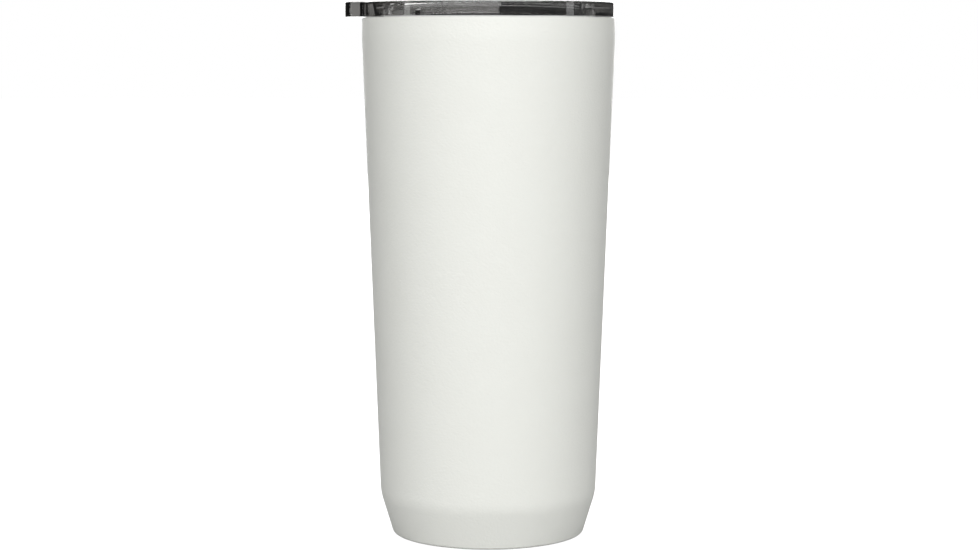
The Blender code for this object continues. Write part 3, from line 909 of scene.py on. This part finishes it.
def slider_plan(inset, half_width):
    """Plan of the slider: square at the back, and curved with the dish at the front."""
    radius = slider_high.x - inset
    swing = math.asin(half_width / radius)
    front = arc((0, 0), radius, -swing, swing, SLIDER_FRONT_STEPS)
    back_x = slider_low.x + inset
    corner = SLIDER_CORNER
    back = rounded([front[-1], (back_x, half_width, corner), (back_x, -half_width, corner), front[0]])
    return front + back[1:-1]


def make_slider():
    """Tongue under the rails, body between them, grooved grip, and the pocket for the seal."""
    low = slider_low.z
    tongue_top = low + TONGUE_THICKNESS
    body_top = low + BODY_RISE
    slider = loft("slider_cover", slider_plan(0, slider_high.y), soft_levels(low, tongue_top, SMALL_EDGE))
    body_plan = slider_plan(BODY_INSET, rail_inside_y - RAIL_LIP - GAP)
    body = loft("slider_body", body_plan, soft_levels(tongue_top - MM, body_top, BODY_EDGE))
    half_grip = GRIP_LENGTH / 2
    grip_plan = rectangle(GRIP_X - half_grip, GRIP_X + half_grip, GRIP_WIDTH / 2, GRIP_CORNER)
    grip = loft("slider_grip", grip_plan, soft_levels(body_top - MM, slider_high.z, GRIP_EDGE))
    combine(slider, "UNION", [body, grip])
    pocket_plan = slider_plan(SEAL_INSET, slider_high.y - SEAL_INSET)
    cutters = [loft("seal_pocket", pocket_plan, [(0, low - MM), (0, low + SEAL_POCKET)])]
    for index in range(GRIP_GROOVES):
        x = GRIP_X + (index - (GRIP_GROOVES - 1) / 2) * GRIP_GROOVE_PITCH
        section = arc((x, slider_high.z), GRIP_GROOVE_RADIUS, 0, 2 * math.pi, GROOVE_FACETS)[:-1]
        ends = [(0, GRIP_WIDTH), (0, -GRIP_WIDTH)]
        cutters.append(loft(f"grip_groove_{index}", section, ends, axis="Y"))
    combine(slider, "DIFFERENCE", cutters)
    plastic = moulded("slider_plastic", (0.022, 0.022, 0.024), (0.036, 0.036, 0.039), 0.34)
    dress(slider, plastic, "slider", "slider")


def make_seal():
    """Silicone pad in the slider's pocket."""
    plan = slider_plan(SEAL_INSET + GAP, slider_high.y - SEAL_INSET - GAP)
    seal = loft("slider_seal_pad", plan, soft_levels(seal_low.z, seal_high.z, SEAL_EDGE))
    silicone = moulded("seal_silicone", (0.17, 0.17, 0.18), (0.23, 0.23, 0.24), 0.62)
    dress(seal, silicone, "slider", "slider_seal")


# ---------------------------------------------------------------- studio


def make_camera():
    """In front of the cup, just below the lid's height, aimed at the cup's middle."""
    camera = bpy.data.objects.new("camera", bpy.data.cameras.new("camera"))
    bpy.context.scene.collection.objects.link(camera)
    camera.data.lens = EYE_LENS
    camera.data.sensor_width = SENSOR_WIDTH
    eye = Vector((EYE_SIDE, -EYE_DISTANCE, cad_high.z - EYE_DROP))
    aim = Vector((EYE_SIDE, 0, cad_high.z - AIM_DROP))
    camera.location = eye
    camera.rotation_mode = "QUATERNION"
    camera.rotation_quaternion = (aim - eye).to_track_quat("-Z", "Y") @ Quaternion((0, 0, 1), EYE_ROLL)
    bpy.context.scene.camera = camera


def add_softbox(name, place, size, power, through_plastic=False):
    """A rectangular lamp that faces the middle of the object, unseen by the camera."""
    light = bpy.data.lights.new(name, "AREA")
    light.shape = "RECTANGLE"
    light.size, light.size_y = size
    light.energy = power
    lamp = bpy.data.objects.new(name, light)
    bpy.context.scene.collection.objects.link(lamp)
    lamp.location = place
    middle = (cad_low + cad_high) / 2
    lamp.rotation_mode = "QUATERNION"
    lamp.rotation_quaternion = (middle - lamp.location).to_track_quat("-Z", "Y")
    lamp.visible_camera = False
    lamp.visible_transmission = through_plastic


def studio_white(tree, burnt, lit):
    """How bright the white studio is: WHITE to the camera, burnt through clear plastic, which
    darkens it again, and lit for all other light."""
    path = tree.nodes.new("ShaderNodeLightPath")
    total = lit
    for ray, white in (("Is Camera Ray", WHITE), ("Is Transmission Ray", burnt)):
        step = tree.nodes.new("ShaderNodeMath")
        step.operation = "MULTIPLY_ADD"
        tree.links.new(path.outputs[ray], step.inputs[0])
        step.inputs[1].default_value = white - lit
        if total is lit:
            step.inputs[2].default_value = lit
        else:
            tree.links.new(total, step.inputs[2])
        total = step.outputs["Value"]
    return total


def make_floor():
    """A wide floor that the camera sees as white, and that takes the lamps' light as mid grey."""
    outline = [(-FLOOR_HALF, -FLOOR_HALF), (FLOOR_HALF, -FLOOR_HALF)]
    outline += [(FLOOR_HALF, FLOOR_HALF), (-FLOOR_HALF, FLOOR_HALF)]
    floor = loft("studio_floor", outline, [(0, -FLOOR_THICKNESS), (0, 0)])
    look = Look("studio_floor")
    colour = look.tint(look.noise(30), (0.34, 0.34, 0.34), (0.36, 0.36, 0.36))
    material = look.finish(
        Base_Color=colour,
        Roughness=0.9,
        Emission_Color=(1.0, 1.0, 1.0),
        Emission_Strength=studio_white(look.tree, FLOOR_WHITE, 0.0),
    )
    floor.data.materials.append(material)


def make_world():
    """A white backdrop for the camera, and dark surroundings for the light."""
    world = bpy.data.worlds.new("studio")
    bpy.context.scene.world = world
    world.use_nodes = True
    tree = world.node_tree
    background = tree.nodes["Background"]
    background.inputs["Color"].default_value = (1, 1, 1, 1)
    strength = studio_white(tree, BURNT_WHITE, SURROUNDINGS)
    tree.links.new(strength, background.inputs["Strength"])


def make_studio():
    make_floor()
    make_world()
    bpy.context.scene.view_settings.view_transform = "Standard"
    add_softbox("front_softbox", (0, -2.0, 1.15), (4.5, 1.8), 76)
    add_softbox("left_softbox", (-1.3, -0.3, 0.4), (0.15, 1.2), 1.2, through_plastic=True)
    add_softbox("right_softbox", (1.3, -0.3, 0.4), (0.2, 1.2), 1.7, through_plastic=True)
    add_softbox("top_softbox", (0, 0.1, 1.1), (0.9, 0.9), 3)
    add_softbox("back_softbox", (0, 1.9, 0.8), (1.8, 1.6), 37)


def main():
    steel = turned_steel()
    make_shell()
    make_liner(steel)
    make_pad()
    make_hidden_pieces()
    run = next(joint for joint in frame["joints"] if joint["name"] == "slider_run")
    make_lid(travel=run["range_m"][1])
    make_gasket()
    make_slider()
    make_seal()
    make_camera()
    make_studio()


main()
